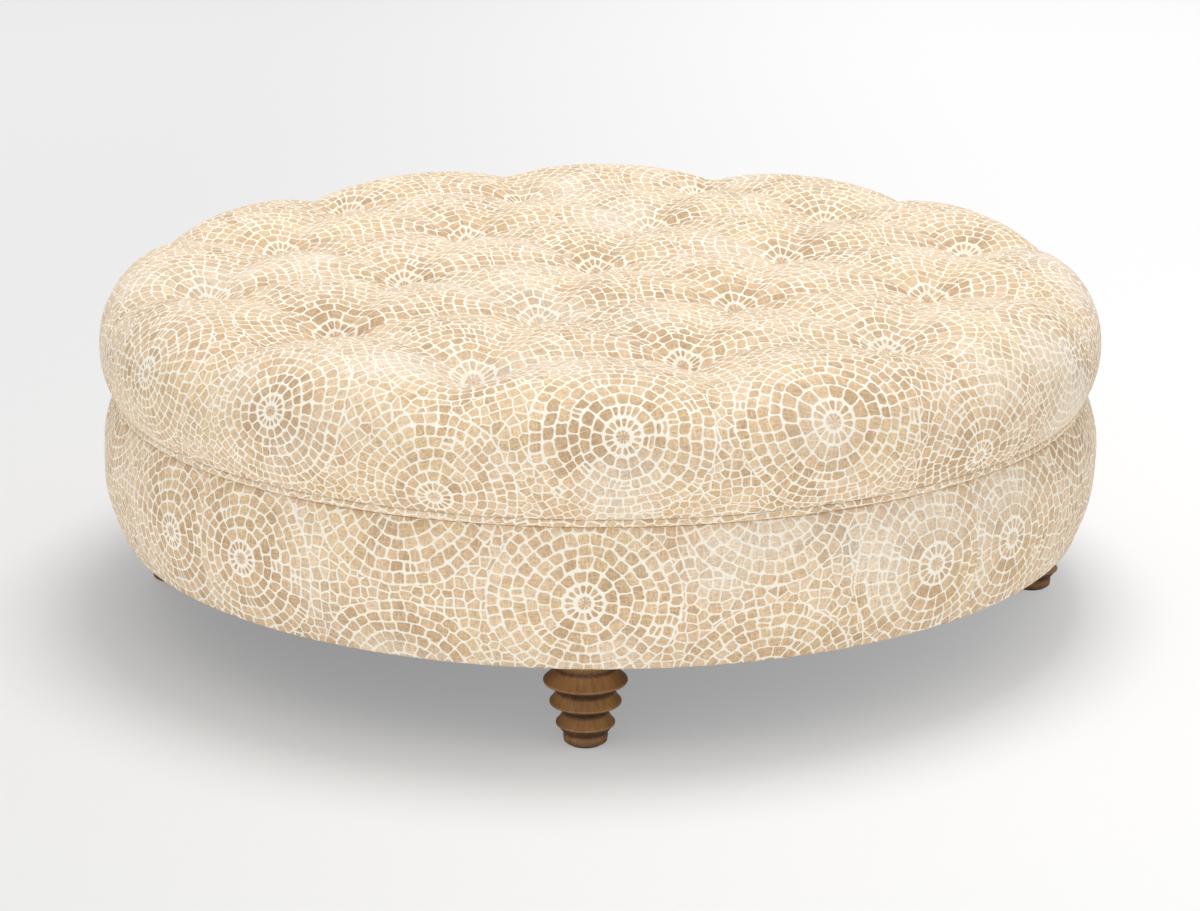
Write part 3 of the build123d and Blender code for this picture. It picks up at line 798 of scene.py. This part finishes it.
def cushion_form():
    """Corners, triangles and flat places of the tufted cushion's cover."""
    lowest = pi / 2 + atan2(ROLL_HEIGHT - DECK_TOP, SEAM_RADIUS - ROLL_CENTRE)
    seam_length = ROLL_CENTRE + ROLL_RADIUS * lowest
    rings = round(seam_length / CUSHION_STEP)
    grid, faces = disc_grid(rings)
    length = grid[:, 0] / rings * seam_length
    turn = grid[:, 1] * tau
    x, y = length * np.cos(turn), length * np.sin(turn)
    angle = np.maximum(length - ROLL_CENTRE, 0) / ROLL_RADIUS
    puff = CROWN_PUFF * (1 - smooth_step(angle, pi / 2, lowest))
    puff += SHOULDER_PUFF * np.sin(2 * angle).clip(0, 1)
    depth = drawn_in(x, y, angle) - puff
    crown = CROWN_RISE * (1 - np.minimum(length / ROLL_CENTRE, 1) ** 2)
    radius = np.minimum(length, ROLL_CENTRE) + (ROLL_RADIUS - depth) * np.sin(angle)
    height = np.where(
        angle > 0,
        ROLL_HEIGHT + (ROLL_RADIUS - depth) * np.cos(angle),
        ROLL_HEIGHT + ROLL_RADIUS + crown - depth,
    )
    world = turn + TUFT_TURN
    corners = np.stack([radius * np.cos(world), radius * np.sin(world), height], 1)
    deepest = VALLEY_DEPTH + TUFT_FUNNEL[0] + TUFT_THROAT[0]
    held = np.clip(depth / (HELD_SHARE * deepest), 0, 1)
    held[grid[:, 0] >= rings - 1] = 1
    spread = length + PRINT_SPREAD * np.maximum(length - SPREAD_START, 0) ** 2
    cloth = np.stack([spread * np.cos(turn), spread * np.sin(turn)], 1) - CUSHION_PRINT_SHIFT
    return corners, faces, cloth, held


def shrink(piece, held):
    """Starts the free part of the cover a little inside its form."""
    count = len(piece.data.vertices)
    places, normals = np.empty(count * 3), np.empty(count * 3)
    piece.data.vertices.foreach_get("co", places)
    piece.data.vertices.foreach_get("normal", normals)
    inward = normals.reshape(-1, 3) * (SIM_SHRINK * (1 - held))[:, None]
    piece.data.vertices.foreach_set("co", (places.reshape(-1, 3) - inward).ravel())
    piece.data.update()


def inflate(piece, held):
    """Lets the cover relax under air pressure with its tufts and its seam held."""
    group = piece.vertex_groups.new(name="held")
    for corner in np.flatnonzero(held > LEAST_HOLD):
        group.add([int(corner)], float(held[corner]), "REPLACE")
    cloth = piece.modifiers.new("Cloth", "CLOTH")
    settings = cloth.settings
    settings.quality = SIM_QUALITY
    settings.mass = SIM_MASS
    settings.tension_stiffness = SIM_STRETCH
    settings.compression_stiffness = SIM_STRETCH
    settings.shear_stiffness = SIM_SHEAR
    settings.bending_stiffness = SIM_BENDING
    settings.use_pressure = True
    settings.uniform_pressure_force = SIM_PRESSURE
    settings.vertex_group_mass = "held"
    settings.effector_weights.gravity = 0
    cloth.collision_settings.use_collision = False
    cloth.collision_settings.use_self_collision = False
    cloth.point_cache.frame_start = 1
    cloth.point_cache.frame_end = SIM_FRAMES
    for number in range(1, SIM_FRAMES + 1):
        bpy.context.scene.frame_set(number)
    graph = bpy.context.evaluated_depsgraph_get()
    relaxed = piece.evaluated_get(graph).to_mesh()
    after = np.empty(len(relaxed.vertices) * 3)
    relaxed.vertices.foreach_get("co", after)
    before = np.empty_like(after)
    piece.data.vertices.foreach_get("co", before)
    move = (after - before).reshape(-1, 3)
    size = np.linalg.norm(move, axis=1, keepdims=True)
    move *= np.minimum(1, SIM_LARGEST_MOVE / np.maximum(size, 1e-9))
    piece.modifiers.remove(cloth)
    piece.data.vertices.foreach_set("co", (before.reshape(-1, 3) + move).ravel())
    piece.data.update()
    bpy.context.scene.frame_set(1)


def build_cushion(material):
    """The tufted cover, puffed up by its filling."""
    corners, faces, cloth, held = cushion_form()
    cushion = mesh_piece("cushion_cover", corners, faces, material, cloth)
    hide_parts("tufted_top", "seat_foam")
    shrink(cushion, held)
    inflate(cushion, held)
    return cushion


def ripple(turn, height, seed):
    """A smooth unevenness round the object, from -1 to 1."""
    total = np.zeros_like(turn)
    chance = np.random.default_rng(seed)
    for waves, weight in RIPPLE_WAVES:
        phase, lean = chance.uniform(0, tau), chance.uniform(-RIPPLE_LEAN, RIPPLE_LEAN)
        total += weight * np.sin(waves * turn + phase + lean * height)
    return total


def band_profile():
    """Radius and height of the band's cover, from the tuck under the base to the top."""
    low = HEM_BOTTOM + HEM_EASE
    points = [(TUCK_RADIUS, HEM_BOTTOM), (HEM_RADIUS - 2 * HEM_EASE, HEM_BOTTOM)]
    for step in range(1, 4):
        angle = step / 4 * pi / 2
        points.append((HEM_RADIUS - HEM_EASE * (1 - sin(angle)), low - HEM_EASE * cos(angle)))
    for row in range(BAND_ROWS + 1):
        share = row / BAND_ROWS
        edge = HEM_RADIUS + share * (BAND_TOP_RADIUS - HEM_RADIUS)
        reach = BULGE_SHARE if share < BULGE_SHARE else 1 - BULGE_SHARE
        swell = 1 - abs((share - BULGE_SHARE) / reach) ** BULGE_POWER
        radius = edge + swell * (OUTER_RADIUS - HEM_RADIUS)
        points.append((radius, low + share * (BAND_TOP - low)))
    points.append((BAND_TOP_RADIUS - BAND_TUCK, BAND_TOP))
    return points


def ring_piece(name, profile, columns, material, offset, cloth_of):
    """A surface of revolution that isn't quite even, with its cloth cut at the back."""
    rows = len(profile)
    radius = np.array([p[0] for p in profile])[:, None]
    height = np.array([p[1] for p in profile])[:, None]
    turn = np.linspace(pi / 2 - tau, pi / 2, columns + 1)[None, :]
    steps = np.hypot(np.diff(radius[:, 0]), np.diff(height[:, 0]))
    length = np.concatenate([[0], np.cumsum(steps)])[:, None]
    radius, height, length, turn = np.broadcast_arrays(radius, height, length, turn)
    uneven = radius + offset(turn, height)
    corners = np.stack([uneven * np.cos(turn), uneven * np.sin(turn), height], 2)
    cloth = np.stack(cloth_of(turn + pi / 2, length), 2)
    wide = columns + 1
    faces = [
        (r * wide + c, r * wide + c + 1, (r + 1) * wide + c + 1, (r + 1) * wide + c)
        for r in range(rows - 1)
        for c in range(columns)
    ]
    return mesh_piece(
        name, corners.reshape(-1, 3), faces, material, cloth.reshape(-1, 2)
    )


def join_lengths(band):
    """Two seams in the band's strip, beyond which the print starts again nearer the front."""
    middles = (np.arange(BAND_COLUMNS) + 0.5) / BAND_COLUMNS * tau - pi
    lap = BAND_SEAM_LAP * ((middles < BAND_SEAMS[0]) * 1.0 - (middles > BAND_SEAMS[1]))
    layer = band.data.uv_layers["flat"].data
    places = np.empty(2 * len(layer), np.float32)
    layer.foreach_get("uv", places)
    places.reshape(-1, BAND_COLUMNS, 4, 2)[..., 1] += lap[None, :, None]
    layer.foreach_set("uv", places)


def build_band(material):
    """The side's cover, with its print's lengths joined at two seams."""
    hem_length = HEM_RADIUS - TUCK_RADIUS

    def offset(turn, height):
        share = np.clip((height - HEM_BOTTOM) / (BAND_TOP - HEM_BOTTOM), 0, 1)
        return BAND_RIPPLE * ripple(turn, height, BAND_SEED) * np.sin(pi * share) ** 0.5

    def cloth_of(turn, length):
        """The print stands with a medallion near the middle of the front."""
        rise = length - hem_length - (BAND_MEDALLION_HEIGHT - HEM_BOTTOM)
        return rise, turn * (OUTER_RADIUS - HEM_EASE) - BAND_MEDALLION_ARC

    band = ring_piece(
        "band_cover", band_profile(), BAND_COLUMNS, material, offset, cloth_of
    )
    join_lengths(band)
    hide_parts("side_cover", "side_padding")
    return band


def build_welt(material):
    """The covered cord between the band and the cushion."""
    angles = np.linspace(-WELT_HALF_TURN, WELT_HALF_TURN, WELT_ROWS)
    profile = [
        (WELT_CENTRE_RADIUS + WELT_RADIUS * cos(a), WELT_HEIGHT + WELT_RADIUS * sin(a))
        for a in angles
    ]

    def offset(turn, height):
        return WELT_RIPPLE * ripple(turn, height, WELT_SEED)

    def cloth_of(turn, length):
        """The strip is cut on its own, and drawn narrower round its cord."""
        return (
            turn * WELT_CENTRE_RADIUS + WELT_PRINT_START[0],
            length * WELT_PRINT_STRETCH + WELT_PRINT_START[1],
        )

    welt = ring_piece(
        "welt_cord", profile, WELT_COLUMNS, material, offset, cloth_of
    )
    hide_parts("welt")
    return welt


def leg_profile():
    """Radius, height and depth of glaze and painted shade down a turned leg, from the floor up."""
    low = LEG_BOTTOM + FOOT_HEIGHT
    points = [
        # The foot's bottom edge is painted dark as shade where it meets the floor, and its top as
        # shade under the lowest ring
        (0.0, LEG_BOTTOM, 0.3),
        (FOOT_RADII[0] - FOOT_ROUNDING, LEG_BOTTOM, 0.9),
        (FOOT_RADII[0], LEG_BOTTOM + FOOT_ROUNDING, 0.5),
        (FOOT_RADII[1] - 0.5 * MM, low - 3 * MM, 0.2),
    ]
    groove_in = FOOT_RADII[1] - 1.5 * MM
    for number, radius in enumerate(RING_RADII):
        base = low + number * RING_HEIGHT
        crest = base + RING_CREST_SHARE * RING_HEIGHT
        last = number == len(RING_RADII) - 1
        groove_out = NECK_GROOVE_RADIUS if last else radius - GROOVE_DEPTH
        groove_top = crest + NECK_GROOVE_RISE if last else base + RING_HEIGHT
        points += [
            # Glaze darkens each groove, and painted shade darkens the ring's underside below its
            # crest
            (groove_in, base + 0.3 * MM, 1.0 if number else 0.5),
            (groove_in + 1.2 * MM, base + 1.4 * MM, 0.95),
            (radius - 1.6 * MM, crest - RING_EDGE, 0.75),
        ]
        # The lower half of each crest is painted shade, darkest at its bottom edge
        for step in range(1, 6):
            lean = (step / 3 - 1) * CREST_TURN
            edge = radius - CREST_ROUNDING * (1 - cos(lean))
            points.append((edge, crest + RING_EDGE * sin(lean), max(0.0, 1.0 - 0.3 * step)))
        points += [
            (radius - 1.6 * MM, crest + RING_EDGE, 0.0),
            (groove_out + 3.4 * MM, groove_top - 3.6 * MM, 0.05),
            (groove_out + 1.3 * MM, groove_top - 1.5 * MM, 0.6),
            (groove_out, groove_top - 0.2 * MM, 1.0),
        ]
        groove_in = groove_out
    return points + [
        # Glaze in the neck's groove, and painted shade at the neck's top under the base
        (groove_in + 1.0 * MM, groove_top + 1.5 * MM, 0.6),
        (NECK_RADIUS, LEG_TOP - 3 * MM, 0.1),
        (NECK_RADIUS, LEG_TOP, 0.3),
        (0.0, LEG_TOP, 0.0),
    ]


def build_legs(material):
    """Four turned legs in one mesh, with the grooves' glaze and the painted shade under the rings
    as a value on each corner.
    """
    profile = leg_profile()
    corners, faces, glaze_and_shade, around = [], [], [], []
    for leg in range(LEG_COUNT):
        place = LEG_TURN + leg * tau / LEG_COUNT
        middle = Vector((LEG_CIRCLE_RADIUS * cos(place), LEG_CIRCLE_RADIUS * sin(place), 0))
        first = len(corners)
        for radius, height, shade in profile:
            for side in range(LEG_SIDES):
                turn = side / LEG_SIDES * tau
                corners.append(middle + Vector((radius * cos(turn), radius * sin(turn), height)))
                glaze_and_shade.append(shade)
                around.append((cos(turn + leg), sin(turn + leg)))
        for row in range(len(profile) - 1):
            for side in range(LEG_SIDES):
                after = (side + 1) % LEG_SIDES
                low, high = first + row * LEG_SIDES, first + (row + 1) * LEG_SIDES
                faces.append((low + side, low + after, high + after, high + side))
    legs = mesh_piece("turned_legs", corners, faces, material, around)
    layer = legs.data.attributes.new("glaze_and_shade", "FLOAT", "POINT")
    layer.data.foreach_set("value", glaze_and_shade)
    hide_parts("legs")
    return legs


def build_dust_cover(material):
    """The dust cloth, which sags a little between its staples."""
    grid, faces = disc_grid(DUST_COVER_RINGS)
    radius = grid[:, 0] / DUST_COVER_RINGS * DUST_COVER_RADIUS
    turn = grid[:, 1] * tau
    edge = smooth_step(radius, 0.9 * DUST_COVER_RADIUS, DUST_COVER_RADIUS)
    pull = DUST_COVER_PULL * np.sin(STAPLE_COUNT * turn) * edge
    sag = DUST_COVER_SAG * ripple(turn, radius, DUST_COVER_SEED) * (1 - edge)
    low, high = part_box("dust_cover")
    height = (low.z + high.z) / 2 + pull + sag
    corners = np.stack([radius * np.cos(turn), radius * np.sin(turn), height], 1)
    downward = [face[::-1] for face in faces]
    cover = mesh_piece("dust_cover_cloth", corners, downward, material)
    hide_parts("dust_cover")
    return cover


def build_staples(material):
    """Wire staples round the edge of the dust cloth, each a flat bar with bent ends."""
    corners, faces = [], []
    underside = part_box("dust_cover")[0].z
    chance = np.random.default_rng(STAPLE_SEED)
    for number in range(STAPLE_COUNT):
        place = number / STAPLE_COUNT * tau + chance.uniform(-STAPLE_DRIFT, STAPLE_DRIFT)
        lean = place + pi / 2 + chance.uniform(-STAPLE_LEAN, STAPLE_LEAN)
        middle = Vector((cos(place), sin(place), 0)) * (DUST_COVER_RADIUS - STAPLE_INSET)
        along = Vector((cos(lean), sin(lean), 0))
        across = Vector((-along.y, along.x, 0))
        first = len(corners)
        for side in (-0.5, 0.5):
            for reach, rise in STAPLE_OUTLINE:
                corner = middle + along * reach * STAPLE_LENGTH + across * side * STAPLE_WIRE
                corners.append(corner + Vector((0, 0, underside + rise * STAPLE_WIRE)))
        count = len(STAPLE_OUTLINE)
        faces.append([first + i for i in range(count)][::-1])
        faces.append([first + count + i for i in range(count)])
        for i in range(count):
            after = (i + 1) % count
            faces.append((first + i, first + after, first + count + after, first + count + i))
    staples = mesh_piece("dust_cover_staples", corners, faces, material)
    staples.data.polygons.foreach_set("use_smooth", [False] * len(staples.data.polygons))
    return staples


def paint_frame(materials):
    """Gives each CAD node that stays its material."""
    for finish, nodes in FRAME_FINISHES.items():
        for node in nodes:
            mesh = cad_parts[node].data
            mesh.materials.clear()
            mesh.materials.append(materials[finish])


def floor_material():
    """A pale floor with painted light: the camera sees a glow mixed in, lighter to the right most
    and farther away, which lightens the shadow but keeps it.
    """
    material, tree, shader = new_material("floor", 0.9, Specular_IOR_Level=0.1)
    shader.inputs["Base Color"].default_value = linear(FLOOR_GREY)
    x, y, _ = separate(tree, solid_place(tree))
    # Painted glow, seen only by the camera, that grows farther away and to the right
    away = hypotenuse(x, y).step(*FLOOR_GLOW_AWAY_SPAN) * FLOOR_GLOW_AWAY
    rightward = x.step(*FLOOR_GLOW_RIGHTWARD_SPAN) * FLOOR_GLOW_RIGHTWARD
    glow = tree.nodes.new("ShaderNodeEmission")
    feed(tree, glow.inputs["Strength"], rightward + away + FLOOR_GLOW)
    rays = tree.nodes.new("ShaderNodeLightPath")
    mix = tree.nodes.new("ShaderNodeMixShader")
    feed(tree, mix.inputs[0], Field(tree, rays.outputs["Is Camera Ray"]) * FLOOR_SHARE)
    tree.links.new(shader.outputs[0], mix.inputs[1])
    tree.links.new(glow.outputs[0], mix.inputs[2])
    tree.links.new(mix.outputs[0], tree.nodes["Material Output"].inputs["Surface"])
    return material


def build_stage():
    """A plain pale floor, soft lamps, and the world's own soft light."""
    mesh = bpy.data.meshes.new("floor")
    half = FLOOR_SIZE / 2
    corners = [(-half, -half, 0), (half, -half, 0), (half, half, 0), (-half, half, 0)]
    mesh.from_pydata(corners, [], [(0, 1, 2, 3)])
    mesh.materials.append(floor_material())
    floor = bpy.data.objects.new("floor", mesh)
    bpy.context.scene.collection.objects.link(floor)

    world = bpy.data.worlds.new("soft_light")
    world.use_nodes = True
    background = world.node_tree.nodes["Background"]
    background.inputs["Color"].default_value = (1, 1, 1, 1)
    background.inputs["Strength"].default_value = WORLD_STRENGTH
    bpy.context.scene.world = world

    for name, (place, size, power) in LAMPS.items():
        lamp = bpy.data.lights.new(name, "AREA")
        lamp.shape = "DISK"
        lamp.size = size
        lamp.energy = power
        holder = bpy.data.objects.new(name, lamp)
        holder.location = place
        aim = Vector(LAMP_AIM) - Vector(place)
        holder.rotation_euler = aim.to_track_quat("-Z", "Y").to_euler()
        bpy.context.scene.collection.objects.link(holder)


def build_camera():
    """The photograph's camera."""
    lens = bpy.data.cameras.new("camera")
    lens.sensor_width = SENSOR_WIDTH_MM
    lens.lens = FOCAL_LENGTH_PX / PHOTO_WIDTH_PX * SENSOR_WIDTH_MM
    lens.clip_end = 100
    camera = bpy.data.objects.new("camera", lens)
    camera.location = (0, -CAMERA_BACK, CAMERA_HEIGHT)
    camera.rotation_euler = (pi / 2 - CAMERA_PITCH, 0, 0)
    bpy.context.scene.collection.objects.link(camera)
    bpy.context.scene.camera = camera


bpy.context.scene.view_settings.view_transform = "Standard"
build_camera()
build_stage()

linen = printed_linen()
finishes = {
    "glide": moulded("glide_plastic", GLIDE_COLOURS, 0.6),
    "steel": plated_steel(),
    "plywood": raw_stuff("plywood", PLYWOOD_COLOURS, (1, 0.08, 1), 60.0),
    "pine": raw_stuff("pine", PINE_COLOURS, (0.3, 0.3, 1), 90.0),
    "hardboard": raw_stuff("hardboard", HARDBOARD_COLOURS, (1, 1, 1), 320.0),
    "twine": raw_stuff("twine", TWINE_COLOURS, (1, 1, 0.4), 900.0),
    "clip": moulded("clip_plastic", CLIP_COLOURS, 0.5),
}
paint_frame(finishes)
build_cushion(linen)
build_band(linen)
build_welt(linen)
build_legs(stained_wood())
build_dust_cover(nonwoven())
build_staples(finishes["steel"])
